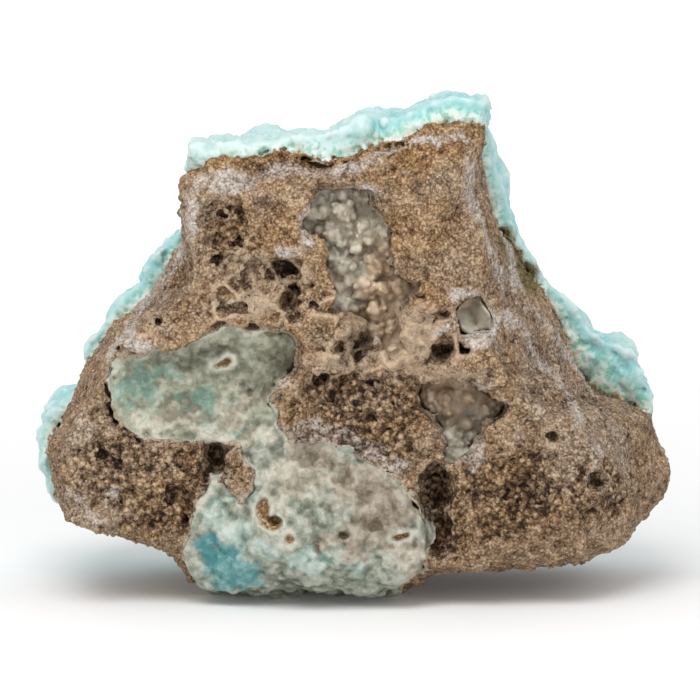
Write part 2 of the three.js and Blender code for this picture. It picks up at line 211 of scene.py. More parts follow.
def noise(points, size, seed):
    """Smooth noise from -1 to 1 with lumps about `size` mm across."""
    table = np.random.default_rng(seed).uniform(-1, 1, (LATTICE,) * 3).astype(np.float32)
    table = np.pad(table, (0, 1), mode="wrap")
    place = (TILT.T @ points.T.astype(np.float32)) / np.float32(size)
    cell = np.floor(place)
    part = place - cell
    part *= part * (3 - 2 * part)
    cell = cell.astype(np.int32) & (LATTICE - 1)
    side = LATTICE + 1
    return read_between(table.ravel(), (cell[0] * side + cell[1]) * side + cell[2], side * side, side, part)


def merge(a, b, blend):
    """The union of two sets of distances, rounded by `blend` mm where they meet."""
    h = np.clip(0.5 + 0.5 * (b - a) / blend, 0, 1)
    return b + (a - b) * h - blend * h * (1 - h)


def add_balls(form, centres, radii, blend, sign=1):
    """Joins balls to a form, or with sign -1 hollows them out, rounded by `blend` mm where they meet."""
    reach = blend + form.voxel
    cloud = np.full(form.values.size, reach, np.float32)
    shape = np.array(form.values.shape)
    strides = np.array([shape[1] * shape[2], shape[2], 1])
    order = np.argsort(radii)
    for group in np.array_split(order, max(1, len(order) // 200)):
        size = radii[group].max() + reach
        span = int(np.ceil(size / form.voxel))
        offsets = np.stack(np.meshgrid(*[np.arange(-span, span + 1)] * 3, indexing="ij"),
                           axis=-1).reshape(-1, 3)
        offsets = offsets[np.linalg.norm(offsets, axis=1) * form.voxel < size + form.voxel]
        middle = np.round((centres[group] - form.corner) / form.voxel).astype(np.int64)
        inside = np.all((middle > span) & (middle < shape - span - 1), axis=1)
        middle, picked = middle[inside], group[inside]
        aside = (form.corner + middle * form.voxel - centres[picked]).astype(np.float32)
        apart = aside[:, None, :] + (offsets * form.voxel).astype(np.float32)[None]
        gap = np.sqrt(np.einsum("ijk,ijk->ij", apart, apart)) - radii[picked][:, None]
        flat = (middle @ strides)[:, None] + (offsets @ strides)[None]
        use = gap < reach
        np.minimum.at(cloud, flat[use], gap[use])
    touched = np.nonzero(cloud < reach)[0]
    flat_values = form.values.reshape(-1)
    flat_values[touched] = sign * merge(sign * flat_values[touched], cloud[touched], blend)


def spread(form, count, radius, seed, weight):
    """Points picked over a form's surface, more of them where `weight` is larger, and a radius for each."""
    _, points = form.near(0.6 * form.voxel)
    random = np.random.default_rng(seed)
    share = np.maximum(weight(points), 1e-9)
    picked = random.choice(len(points), min(count, len(points) // 2), replace=False, p=share / share.sum())
    return points[picked], random.uniform(*radius, min(count, len(points) // 2)).astype(np.float32)


def raise_balls(form, count, radius, sink, blend, seed, weight):
    """Grows round grains out of a form's surface."""
    points, radii = spread(form, count, radius, seed, weight)
    add_balls(form, points - form.slope(points) * (radii * sink)[:, None], radii, blend)


def sink_balls(form, count, radius, lift, blend, seed, weight):
    """Hollows round pits into a form's surface."""
    points, radii = spread(form, count, radius, seed, weight)
    add_balls(form, points + form.slope(points) * (radii * lift)[:, None], radii, blend, -1)


def patches(points, spots, ragged, seed):
    """A mask from 0 to 1 of ragged oval patches on the front: x, z, half width and half height in mm."""
    x = points[:, 0] + ragged * noise(points, 2.4, seed) + 0.5 * ragged * noise(points, 1.1, seed + 1)
    z = points[:, 2] + ragged * noise(points, 2.4, seed + 2) + 0.5 * ragged * noise(points, 1.1, seed + 3)
    mask = np.zeros(len(points), np.float32)
    for middle_x, middle_z, width, height in spots:
        mask = np.maximum(mask,
                          1 - ramp01(np.hypot((x - middle_x) / width, (z - middle_z) / height), 0.7, 1.25))
    return mask * (points[:, 1] < 0)


def beside_line(points, line):
    """How far each point is from a line of x, z corners, in mm."""
    nearest = np.full(len(points), 1e3, np.float32)
    for (ax, az), (bx, bz) in zip(line, line[1:]):
        run = np.array([bx - ax, bz - az])
        t = np.clip(((points[:, 0] - ax) * run[0] + (points[:, 2] - az) * run[1]) / (run @ run), 0, 1)
        nearest = np.minimum(nearest,
                             np.hypot(points[:, 0] - ax - t * run[0], points[:, 2] - az - t * run[1]))
    return nearest


SHARD_TABLE = 64


def shards(points, size, seed):
    """Angular cells on the front, as broken moulds leave them: each one's depth, and how far its edge is."""
    random = np.random.default_rng(seed)
    jitter, tilts = (random.uniform(*span, (SHARD_TABLE, SHARD_TABLE, 2)) for span in [(0.1, 0.9),
                                                                                       (-0.7, 0.7)])
    depths = random.uniform(0, 1, (SHARD_TABLE, SHARD_TABLE))
    place = points[:, [0, 2]] @ np.array([[0.9, -0.45], [0.55, 1.1]]) / size
    cell = np.floor(place).astype(int)
    first, second, depth = np.full(len(points), 9.0), np.full(len(points), 9.0), np.zeros(len(points))
    for shift in np.indices((3, 3)).reshape(2, -1).T - 1:
        x, z = ((cell + shift) & (SHARD_TABLE - 1)).T
        aside = place - cell - shift - jitter[x, z]
        away = np.hypot(*aside.T)
        closer = away < first
        depth = np.where(closer, depths[x, z] + (aside * tilts[x, z]).sum(axis=1), depth)
        second = np.where(closer, first, np.minimum(second, away))
        first = np.where(closer, away, first)
    return depth.astype(np.float32), (second - first).astype(np.float32)


def front_at(form, x, z):
    """The depth y at which a form's front surface lies at x, z."""
    column = form.values[int((x - form.corner[0]) / form.voxel), :, int((z - form.corner[2]) / form.voxel)]
    return form.corner[1] + np.argmax(column < 0) * form.voxel


def carve(form, holes, ragged, seed):
    """Carves ragged oval holes into the front: x, z, half width, half height and depth in mm."""
    for number, (x, z, width, height, depth) in enumerate(holes):
        around = [(width + 1.5, 0), (-width - 1.5, 0), (0, height + 1.5), (0, -height - 1.5)]
        mouth = np.median([front_at(form, x + dx, z + dz) for dx, dz in around])
        reach = np.array([(-width - 1, width + 1), (-3, depth + 1), (-height - 1, height + 1)])
        edges = (reach + np.array([[x], [mouth], [z]]) - form.corner[:, None]) / form.voxel
        first, last = np.clip(edges.T, 0, form.values.shape).astype(int)
        block = tuple(slice(a, b) for a, b in zip(first, last))
        shape = form.values[block].shape
        points = form.points(np.indices(shape).reshape(3, -1) + first[:, None])
        bend = ragged * noise(points, 1.8, seed + number)
        away = np.sqrt(((points[:, 0] - x + bend) / width) ** 2
                       + ((points[:, 2] - z + 0.7 * bend) / height) ** 2 + ((points[:, 1] - mouth) / depth) ** 2)
        hole = ((away - 1) * min(width, height)).reshape(shape)
        form.values[block] = -merge(-form.values[block], hole, 0.3)


def new_mesh(name, points, faces):
    """A mesh from points in mm and faces that all have the same number of corners."""
    mesh = bpy.data.meshes.new(name)
    mesh.vertices.add(len(points))
    mesh.vertices.foreach_set("co", (points / 1000).astype(np.float32).ravel())
    mesh.loops.add(faces.size)
    mesh.loops.foreach_set("vertex_index", faces.astype(np.int32).ravel())
    mesh.polygons.add(len(faces))
    mesh.polygons.foreach_set("loop_start", np.arange(0, faces.size, faces.shape[1], dtype=np.int32))
    mesh.update(calc_edges=True)
    return mesh


def mm_points(mesh):
    points = np.empty(3 * len(mesh.vertices), np.float32)
    mesh.vertices.foreach_get("co", points)
    return points.reshape(-1, 3) * 1000


def surface_of(form, name):
    """A form's surface as an object in metres, thinned to its triangles and free of loose crumbs."""
    low, high = (np.array(corner) * 1000 for corner in solid_box)
    for k in range(3):
        line = form.corner[k] + np.arange(form.values.shape[k]) * form.voxel
        outside = np.maximum(low[k] + BOX_MARGIN - line, line - high[k] + BOX_MARGIN).astype(np.float32)
        form.values = np.maximum(form.values, outside.reshape([-1 if k == axis else 1 for axis in range(3)]))
    form.values[[0, -1]] = form.values[:, [0, -1]] = form.values[:, :, [0, -1]] = 1
    grid = vdb.FloatGrid()
    grid.copyFromArray(np.ascontiguousarray(form.values))
    points, _, quads = grid.convertToPolygons(isovalue=0.0, adaptivity=0.0)
    piece = bpy.data.objects.new(name, new_mesh(name, points * form.voxel + form.corner, quads))
    bpy.context.scene.collection.objects.link(piece)
    thin = piece.modifiers.new("thin", "DECIMATE")
    thin.ratio = min(0.999, TRIANGLES[name] / (2 * len(quads)))
    thinned = bpy.data.meshes.new_from_object(piece.evaluated_get(bpy.context.evaluated_depsgraph_get()))
    piece.modifiers.clear()
    points = mm_points(thinned)
    thinned.calc_loop_triangles()
    corners = np.empty(3 * len(thinned.loop_triangles), np.int32)
    thinned.loop_triangles.foreach_get("vertices", corners)
    corners = corners.reshape(-1, 3)
    shell = np.arange(len(points))
    edges = np.concatenate([corners[:, [0, 1]], corners[:, [1, 2]], corners[:, [2, 0]]])
    while True:
        lowest = np.minimum(shell[edges[:, 0]], shell[edges[:, 1]])
        joined = shell.copy()
        np.minimum.at(joined, edges[:, 0], lowest)
        np.minimum.at(joined, edges[:, 1], lowest)
        joined = joined[joined]
        if np.array_equal(joined, shell):
            break
        shell = joined
    corners = corners[shell[corners[:, 0]] == np.bincount(shell).argmax()]
    used, corners = np.unique(corners, return_inverse=True)
    piece.data = new_mesh(name, points[used], corners.reshape(-1, 3))
    middle = piece.data.polygons[len(piece.data.polygons) // 2]
    ahead, behind = form.at(np.array([middle.center * 1000 + middle.normal * k for k in (0.5, -0.5)]))
    if ahead < behind:
        piece.data.flip_normals()
    piece.data.shade_smooth()
    return piece


def mm_normals(mesh):
    normals = np.empty(3 * len(mesh.vertices), np.float32)
    mesh.vertex_normals.foreach_get("vector", normals)
    return normals.reshape(-1, 3)


def keep_mask(piece, name, values):
    """Stores one number at each point of a piece, for its material to read."""
    piece.data.attributes.new(name, "FLOAT", "POINT").data.foreach_set("value",
                                                                       np.asarray(values, np.float32))


def keep_patches(piece, rows):
    """Stores a mask of ragged patches for each row of a name, its spots, how ragged they are and a seed."""
    for name, spots, ragged, seed in rows:
        keep_mask(piece, name, patches(mm_points(piece.data), spots, ragged, seed))


def keep_relief(piece, form, passes):
    """Stores how far each point of a piece stands out of its smoothed form, and returns it."""
    relief = form.copy().soften(2).soften(passes, 2).at(mm_points(piece.data))
    keep_mask(piece, "relief", relief)
    return relief


# Steps of the grids, overlap of the pieces at a seam and margin inside the CAD box, in mm, then the size and
# seed of the angular cells, and the number of triangles that each piece is thinned to.
VOXEL, ROCK_VOXEL, CRUST_VOXEL = 0.42, 0.35, 0.28
OVERLAP = 0.25
BOX_MARGIN = 0.02
SHARDS = (4.4, 6)
TRIANGLES = {"rock": 195000, "rind": 190000, "large_lining": 150000, "upper_crust": 120000,
             "right_crust": 120000, "pocket_crust": 40000}
NODES = ["host_rock", "blue_rind", "large_hollow_lining", "upper_hollow_lining", "right_hollow_lining",
         "small_pocket_lining"]
solids = {node: form_of(node, VOXEL, 3.0) for node in NODES}
whole = Form(np.minimum.reduce([form.values for form in solids.values()]), solids["host_rock"].corner, VOXEL)
rock_solid = form_of("host_rock", 1.0, 16.0)


def share_of(node, softening, voxel=VOXEL):
    """The specimen's outer surface around a node, and the ragged seam that parts it from its neighbours."""
    others = np.minimum.reduce([form.values for name, form in solids.items() if name != node])
    points = mm_points(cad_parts[node].data)
    reach = [(points.min(axis=0) - 3.5 - whole.corner) / VOXEL,
             (points.max(axis=0) + 3.5 - whole.corner) / VOXEL]
    first, last = (np.clip(np.round(place), 0, whole.values.shape).astype(int) for place in reach)
    block = tuple(slice(a, b) for a, b in zip(first, last))
    corner = whole.corner + first * VOXEL
    body = Form(whole.values[block].copy(), corner, VOXEL)
    seam = Form((solids[node].values[block] - others[block]) / 2, corner, VOXEL)
    if voxel < VOXEL:
        body, seam = body.finer(voxel), seam.finer(voxel)
    found = np.nonzero((np.abs(seam.values) < 2) & (np.abs(body.values) < 3))
    points = seam.points(found)
    side = 1 if node == "host_rock" else -1
    seam.values[found] += side * (0.7 * noise(points, 2.6, 8) + 0.25 * noise(points, 1.1, 9))
    return body.soften(softening), seam


POROUS = [(-22.8, 71.9, 4.5, 6.0), (-15.7, 40.4, 4.4, 2.7), (0.2, 35.8, 13.7, 8.4), (-34.3, 22.6, 12, 9),
          (17.5, 17.8, 5, 9), (46.8, 22.0, 6, 6), (29.9, 22.5, 10, 8), (-45, 27, 8, 7), (-12, 61, 4, 3)]
HOLES = [(16.6, 48.3, 2.2, 1.8, 7), (21.1, 49.0, 1.1, 0.8, 4), (16.9, 55.8, 2.2, 0.8, 2.5),
         (2.6, 50.7, 1.7, 1.9, 6), (-26.2, 28.2, 1.6, 3.4, 8), (-47.1, 29.1, 1.5, 1.4, 2.5),
         (-11.0, 56.3, 1.6, 2.1, 4), (-7.0, 57.9, 1.0, 0.8, 2.5), (27.1, 39.2, 1.1, 0.5, 3),
         (15.8, 24.1, 3.1, 3.4, 7), (16.6, 14.3, 2.6, 5.3, 7), (46.4, 24.1, 2.0, 2.3, 3),
         (-36.5, 54.2, 1.5, 0.8, 2.5), (0.4, 48.7, 4.3, 3.4, 3), (-5.9, 43.7, 1.8, 1.6, 4),
         (37.8, 32.6, 1.4, 1.2, 2), (-24.2, 74.5, 1.2, 1.0, 3), (-21.6, 69.2, 1.3, 0.9, 3),
         (-25, 66.3, 1.4, 1.2, 3), (3.5, 42.5, 1.5, 0.8, 3)]
MOULDS = [(-17.5, 62.9, 3.6, 3.8, 2.2), (-11.9, 63.5, 3.4, 2.6, 2.4), (-20.0, 57.4, 5.5, 1.6, 1.0)]
PLATES = [(-20.0, 55.9, 8, 3.4), (-22.6, 60.2, 4, 2.6), (-13.3, 62.1, 6, 4.6), (14, 51, 9, 5),
          (-41, 50, 4, 3), (2, 47, 8, 5), (-4, 57, 4, 3)]
TAN_BALLS = [(7.7, 52.2, 8.9, 5.4), (11.4, 54.6, 4.3, 3.5), (-4.5, 46.9, 2.6, 1.5), (16.6, 53.6, 2.3, 1.3),
             (-21.5, 66, 3, 1.6), (9.5, 47.5, 4, 2.5), (1, 55, 3, 2), (19, 44.8, 6, 1)]
RUST = [(16.5, 87.4, 8.5, 1.5), (-11.5, 86.0, 8, 1.3), (-21.8, 85.0, 6, 1.1), (1, 86.8, 7, 1.4),
        (22, 86, 3, 2), (12, 85, 5, 2), (-27, 82.6, 4, 1.2)]
ORANGE = [(-5.3, 64.5, 2.4, 7.0), (-24.3, 52.9, 4.3, 0.9), (-10.6, 50.8, 2.0, 2.1), (-12, 56.4, 5, 1.2),
          (-13, 71, 6, 5), (12, 72, 8, 5), (-20, 54.6, 8, 1.0), (8, 82, 5, 2), (13, 60, 4, 3)]
WHITE = [(-22.9, 80.6, 4.7, 1.9), (-12.7, 83.3, 2.4, 0.9), (15.2, 88.7, 3.4, 0.8), (-45.3, 22.1, 1.4, 1.2),
         (-7.9, 73.6, 1.6, 3.2), (-40.1, 49.9, 2.6, 1.7), (-8.6, 69, 1.4, 1.5), (1, 78.6, 5, 0.8),
         (-12, 67.6, 2, 1.4), (-29.8, 73.4, 0.8, 2.6), (-41.5, 51.6, 1.2, 2), (6, 50.5, 2.2, 1),
         (22.4, 43, 5, 0.6), (31.5, 62, 0.9, 3), (25.8, 53.5, 2.0, 3.2), (23.0, 51.2, 2.6, 1.3),
         (20.5, 59.6, 3.2, 0.9), (17.2, 53.4, 1.5, 1.0)]
LILAC = [(31.6, 58.6, 3.4, 12), (36.3, 45.4, 5, 9), (44.9, 34.0, 5, 8), (-41.9, 30.5, 9, 6),
         (-49.3, 30.2, 5, 7), (-47.6, 19.7, 7, 4), (-30.2, 72.6, 1.6, 8), (24, 81, 2, 7), (-36, 58, 2, 4),
         (0.4, 48.9, 4.0, 3.2), (2, 39, 9, 3), (-17.5, 62.9, 3.2, 3.4), (40, 27, 4, 7), (50, 27, 4, 8)]
# Patches of painted shade on the rock, low on its front and around several holes and moulds.
SHADE_SPOTS = [(24.2, 24.0, 13, 6), (16.7, 17.7, 5, 9), (1.6, 37.8, 11, 5), (-27.8, 27.0, 5, 6), (22.3, 32.2, 7, 3),
        (-11.6, 63.3, 3, 2), (2, 48.5, 3, 2.5), (33, 17, 10, 4), (-32, 18, 6, 4)]
OLIVE = [(29.9, 68.3, 1.8, 2.8), (31.9, 64.7, 2.1, 2.6), (34.1, 60.9, 2.4, 2.6)]
SMEAR = [(-6.2, 32.6, 7.3, 2.6), (1.9, 30.2, 6.2, 2.4), (-13, 44, 2, 4), (8, 27, 4, 2), (21.4, 30, 3.6, 2.8)]
VEIN = [(-28.3, 81.5), (-25.5, 82.2), (-20.9, 82.6), (-18.8, 81.1), (-15.8, 82.1), (-13.6, 83.2),
        (-7.6, 82.4), (-3.5, 82.4), (1.7, 83.7), (4.5, 85.4), (9.8, 87.5), (12.6, 88.8), (18.5, 88.8),
        (20.4, 89.5), (22.1, 87.9), (21.5, 85.1), (21.9, 81.1), (22.1, 77.8), (23.8, 74.4), (25.5, 69.7),
        (28.0, 62.0), (28.2, 56.5), (30.3, 53.9), (32.9, 52.0), (35.9, 45.4), (40.7, 40.1), (44.1, 34.6),
        (46.8, 29.7), (46.0, 26.8), (43.8, 23.8)]
LEFT_VEIN = [(-28.3, 81.5), (-29.7, 77.4), (-30.3, 71.8), (-32.5, 65.8), (-35.0, 61.4), (-41.6, 53.9),
             (-46.3, 47.3)]
LOW_VEIN = [(-53.1, 22.6), (-50.9, 19.8), (-48.4, 16.9)]
OUTER_VEIN = [(26, 84), (26.2, 78), (29.5, 70), (31.6, 62), (34.5, 56), (39.5, 50), (43, 44), (49, 35),
              (52, 28), (52, 22)]

rock, rock_seam = share_of("host_rock", 3, ROCK_VOXEL)
near, points = rock.near(2.6, rock_seam)
free = ramp01(-rock_seam.values[near], 0.0, 1.2)
porous = patches(points, POROUS, 2.0, 10)
plates = patches(points, PLATES, 1.5, 14)
shard_depth, shard_edge = shards(points, *SHARDS)
ledge = 2.4 * noise(points, 7.0, 11) + 0.5 * noise(points, 2.2, 12)
ledge = np.floor(ledge) + ramp01(ledge % 1, 0.7, 1.0)
rock.values[near] += free * (
    0.3 + 0.4 * ledge * (1 - porous) + 0.7 * noise(points, 9.0, 1) + (0.4 + 0.5 * porous) * noise(points,
                                                                                                  4.0, 2)
    + (0.22 + 0.4 * porous) * noise(points, 1.9, 3) + 0.16 * noise(points, 0.9, 4) + 0.6 * porous
    + plates * (1.3 * np.clip(shard_depth - 0.1, 0, 1) * ramp01(shard_edge, 0.04, 0.28) - 0.3))


def on_bare_rock(points):
    return ramp01(-rock_seam.at(points), 0.3, 0.9) * (0.2 + 0.8 * (points[:, 1] < 0))


def on_porous_rock(points):
    return on_bare_rock(points) * (0.03 + patches(points, POROUS, 2.0, 10))


def on_tan_balls(points):
    return on_bare_rock(points) * patches(points, TAN_BALLS, 1.0, 30)


raise_balls(rock, 520, (0.6, 1.5), 0.2, 0.15, 21, on_tan_balls)
sink_balls(rock, 600, (0.5, 1.0), 0.3, 0.3, 22, on_porous_rock)
raise_balls(rock, 2600, (0.5, 1.05), 0.2, 0.12, 23, on_porous_rock)
carve(rock, MOULDS, 0.4, 40)
carve(rock, HOLES, 0.5, 50)
sink_balls(rock, 700, (0.36, 0.6), 0.3, 0.2, 24, on_bare_rock)
raise_balls(rock, 7000, (0.35, 0.6), 0.3, 0.2, 25, on_bare_rock)
rock.values = np.maximum(rock.values, rock_seam.values - OVERLAP)
host_rock = surface_of(rock, "rock")

points = mm_points(host_rock.data)
vein_width = 0.4 + 0.7 * noise(points, 4.0, 53)
veins = [(VEIN, 0.8, 0.0), (LEFT_VEIN, 0.7, 0.0), (LOW_VEIN, 0.5, 0.0), (OUTER_VEIN, 0.8, 0.4)]
vein = np.zeros(len(points), np.float32)
for line, wander, thinner in veins:
    aside = beside_line(points, line) + wander * noise(points, 3.0, 51) + 0.4 * noise(points, 1.3,
                                                                                      52) + thinner
    vein = np.maximum(vein, 1 - ramp01(aside - vein_width, -0.3, 0.6))
keep_mask(host_rock, "vein", vein * ramp01(-points[:, 1], -6, 2))
relief = keep_relief(host_rock, rock, 4)
_, shard_edge = shards(points, *SHARDS)
keep_mask(host_rock, "crest", patches(points, PLATES, 1.5, 14) * (1 - ramp01(shard_edge, 0.05, 0.2)))
keep_patches(host_rock, [
    ("white", WHITE, 1.0, 58), ("pale", TAN_BALLS, 1.4, 30), ("orange", ORANGE, 2.0, 36),
    ("painted_shade", SHADE_SPOTS, 2.5, 42),
    ("olive", OLIVE, 0.8, 45), ("porous", POROUS, 2.0, 10), ("smear", SMEAR, 2.2, 47)])
keep_mask(host_rock, "lilac", np.maximum(patches(points, LILAC, 3.0, 38), 0.6 * ramp01(points[:, 1], -8, 6)))
holes_seen = [(x, z, w + 0.5, h + 0.5) for x, z, w, h, _ in HOLES + MOULDS]
keep_mask(host_rock, "lip", patches(points, holes_seen, 0.5, 49) * ramp01(-relief, 0.25, -0.25))
rind_gap = solids["blue_rind"].at(points)
rust = 0.85 * (1 - ramp01(rind_gap + 0.7 * noise(points, 2.0, 57), 1.7, 2.7)) * (points[:, 1] < -2)
keep_mask(host_rock, "rust", np.maximum(patches(points, RUST, 1.2, 34), rust))
keep_mask(host_rock, "fringe", 1 - ramp01(rind_gap + 0.6 * noise(points, 1.5, 56), 0.3, 1.8))
lining_gap = np.min([solids[node].at(points) for node in NODES[2:]], axis=0)
keep_mask(host_rock, "shore", 1 - ramp01(lining_gap + 0.7 * noise(points, 2.0, 55), 0.2, 1.3))


def put(tree, kind, links=None, **settings):
    """Adds a shader node, sets it up, and sets or links the inputs named in `links`."""
    node = tree.nodes.new(kind)
    for key, value in settings.items():
        setattr(node, key, value)
    for key, value in (links or {}).items():
        if isinstance(value, bpy.types.NodeSocket):
            tree.links.new(value, node.inputs[key])
        else:
            node.inputs[key].default_value = value
    return node


def rgb(code):
    """A colour as the eye reads it, such as 8c6c52, as the linear values that a shader takes."""
    parts = [int(code[k:k + 2], 16) / 255 for k in (0, 2, 4)]
    return [p / 12.92 if p < 0.04045 else ((p + 0.055) / 1.055) ** 2.4 for p in parts] + [1]


def shades(tree, share, stops):
    """A colour that runs through (place, colour) stops."""
    node = put(tree, "ShaderNodeValToRGB", {"Fac": share})
    band = node.color_ramp
    while len(band.elements) < len(stops):
        band.elements.new(0.5)
    for element, (place, code) in zip(band.elements, stops):
        element.position = place
        element.color = rgb(code)
    return node.outputs["Color"]


def over(tree, base, code, share):
    """Lays a colour, or another socket's, over a base by a mask."""
    node = put(tree, "ShaderNodeMix", {"Factor": share}, data_type="RGBA")
    for socket, value in ((node.inputs[6], base), (node.inputs[7], code)):
        if isinstance(value, bpy.types.NodeSocket):
            tree.links.new(value, socket)
        else:
            socket.default_value = rgb(value)
    return node.outputs[2]


def sums(tree, operation, a, b):
    """The sum, product or the like of two sockets or numbers."""
    node = put(tree, "ShaderNodeMath", operation=operation)
    for socket, value in ((node.inputs[0], a), (node.inputs[1], b)):
        if isinstance(value, bpy.types.NodeSocket):
            tree.links.new(value, socket)
        else:
            socket.default_value = value
    return node.outputs[0]


def plus(tree, a, b):
    return sums(tree, "ADD", a, b)


def times(tree, a, b):
    return sums(tree, "MULTIPLY", a, b)


def stretch(tree, value, start, end, low=0.0, high=1.0):
    """A value's stretch from start to end, eased onto low to high."""
    return put(tree, "ShaderNodeMapRange", {
        "Value": value, "From Min": start, "From Max": end, "To Min": low, "To Max": high},
        interpolation_type="SMOOTHSTEP").outputs["Result"]


def mask_of(tree, name):
    return put(tree, "ShaderNodeAttribute", attribute_name=name).outputs["Fac"]


def new_material(name):
    material = bpy.data.materials.new(name)
    material.use_nodes = True
    return material, material.node_tree, material.node_tree.nodes["Principled BSDF"]


def finish_paint(tree, bsdf, color, relief, values):
    """Links a material's colour and relief, a height with its strength and depth, and sets its values."""
    height, strength, depth = relief
    bump = put(tree, "ShaderNodeBump", {"Height": height, "Strength": strength, "Distance": depth})
    tree.links.new(color, bsdf.inputs["Base Color"])
    tree.links.new(bump.outputs["Normal"], bsdf.inputs["Normal"])
    for key, value in values.items():
        bsdf.inputs[key].default_value = value


def group_of(name, size_mm, outputs):
    """An empty shader node group with one input, the size of its grain, and outputs that are numbers."""
    group = bpy.data.node_groups.new(name, "ShaderNodeTree")
    group.interface.new_socket("Size mm", in_out="INPUT",
                               socket_type="NodeSocketFloat").default_value = size_mm
    for label in outputs:
        group.interface.new_socket(label, in_out="OUTPUT", socket_type="NodeSocketFloat")
    spot = group.nodes.new("ShaderNodeTexCoord").outputs["Object"]
    per_metre = sums(group, "DIVIDE", 1000.0, group.nodes.new("NodeGroupInput").outputs["Size mm"])
    return group, spot, per_metre, group.nodes.new("NodeGroupOutput").inputs


grains, spot, per_metre, result = group_of("rock_grains", 0.4,
                                           ["Grain", "Crumbs", "Broad", "Tint", "Knobs", "Cracks"])
fine = put(grains, "ShaderNodeTexNoise",
           {"Vector": spot, "Scale": per_metre, "Detail": 2.0, "Roughness": 0.6})
cells = put(grains, "ShaderNodeTexVoronoi", {"Vector": spot, "Scale": times(grains, per_metre, 0.7)})
crumbs = put(grains, "ShaderNodeTexNoise", {
    "Vector": spot, "Scale": times(grains, per_metre, 0.3), "Detail": 3.0, "Roughness": 0.6})
broad = put(grains, "ShaderNodeTexNoise", {"Vector": spot, "Scale": 130.0, "Detail": 4.0, "Roughness": 0.6})
tint = put(grains, "ShaderNodeTexNoise", {"Vector": spot, "Scale": 210.0, "Detail": 5.0, "Roughness": 0.7})
lone = put(grains, "ShaderNodeSeparateColor", {"Color": cells.outputs["Color"]}).outputs["Red"]
grit = sums(grains, "SUBTRACT", plus(grains, fine.outputs["Fac"], times(grains, lone, 0.32)),
            times(grains, cells.outputs["Distance"], 0.42))
grains.links.new(plus(grains, grit, 0.03), result["Grain"])
bent = put(grains, "ShaderNodeVectorMath", {0: spot, 1: put(grains, "ShaderNodeVectorMath", {
    0: fine.outputs["Color"], 1: (0.0009, 0.0009, 0.0009)}, operation="MULTIPLY").outputs[0]},
    operation="ADD")
knobs = put(grains, "ShaderNodeTexVoronoi", {
    "Vector": bent.outputs[0], "Scale": times(grains, per_metre, 0.34), "Smoothness": 0.25},
    feature="SMOOTH_F1")
grains.links.new(stretch(grains, knobs.outputs["Distance"], 0.78, 0.25), result["Knobs"])
split = put(grains, "ShaderNodeTexNoise", {
    "Vector": spot, "Scale": times(grains, per_metre, 0.055), "Detail": 5.0, "Roughness": 0.62})
aside = sums(grains, "ABSOLUTE", sums(grains, "SUBTRACT", split.outputs["Fac"], 0.5), 0)
grains.links.new(stretch(grains, aside, 0.012, 0.0), result["Cracks"])
grains.links.new(crumbs.outputs["Fac"], result["Crumbs"])
grains.links.new(broad.outputs["Fac"], result["Broad"])
grains.links.new(tint.outputs["Fac"], result["Tint"])

rock_paint, tree, bsdf = new_material("brown_rock")
grain = put(tree, "ShaderNodeGroup", {"Size mm": 0.4}, node_tree=grains)
relief = mask_of(tree, "relief")
tone = plus(tree, sums(tree, "SUBTRACT", grain.outputs["Grain"], 0.5), 0.53)
tone = plus(tree, tone, times(tree, sums(tree, "SUBTRACT", grain.outputs["Crumbs"], 0.5), 0.6))
# Painted shade in pits and hollows, and painted light on bumps, by how far each point stands out of its smoothed
# form.
tone = plus(tree, tone, stretch(tree, relief, -1.0, 0.5, -0.3, 0.13))
tone = plus(tree, tone, stretch(tree, grain.outputs["Broad"], 0.3, 0.7, -0.07, 0.07))
# Painted shade: the rock is darkened in the patches of painted shade.
tone = plus(tree, tone, times(tree, mask_of(tree, "painted_shade"), -0.12))
tone = plus(tree, tone, times(tree, mask_of(tree, "rust"), -0.08))
tone = sums(tree, "SUBTRACT", tone, times(tree, grain.outputs["Cracks"], 0.2))
spongy = stretch(tree, mask_of(tree, "porous"), 0.0, 1.0, 0.12, 1.0)
knobs = times(tree, spongy, sums(tree, "SUBTRACT", grain.outputs["Knobs"], 0.58))
# Painted light on the knobs' tops and painted shade between them, strongest in the porous patches.
tone = plus(tree, tone, times(tree, knobs, 0.5))
color = shades(tree, tone,
               [(0.0, "2e2012"), (0.12, "45331f"), (0.3, "664f38"), (0.48, "866c53"), (0.64, "9c8267"),
                (0.88, "c2aa8b")])
ochre = shades(tree, tone,
               [(0.1, "2e1b0b"), (0.3, "674728"), (0.48, "8a6843"), (0.64, "a58056"), (0.88, "c8a87c")])
greyed = shades(tree, tone,
                [(0.1, "2e261f"), (0.3, "65584c"), (0.48, "857768"), (0.64, "9d8f82"), (0.88, "c4b8ab")])
milky = shades(tree, tone, [(0.1, "5c4d40"), (0.3, "8f8174"), (0.5, "b3a89e"), (0.85, "d6cec6")])
olive = shades(tree, tone, [(0.2, "221c0b"), (0.45, "56482a"), (0.7, "7b6b40")])
tint = grain.outputs["Tint"]
color = over(tree, color, greyed, stretch(tree, tint, 0.5, 0.66, 0, 0.35))
color = over(tree, color, ochre, stretch(tree, tint, 0.5, 0.36, 0, 0.35))
color = over(tree, color, ochre, times(tree, mask_of(tree, "orange"), 0.5))
color = over(tree, color, ochre, times(tree, mask_of(tree, "rust"), 0.85))
color = over(tree, color, greyed, times(tree, mask_of(tree, "lilac"), 0.42))
color = over(tree, color, ochre, times(tree, mask_of(tree, "porous"), 0.35))
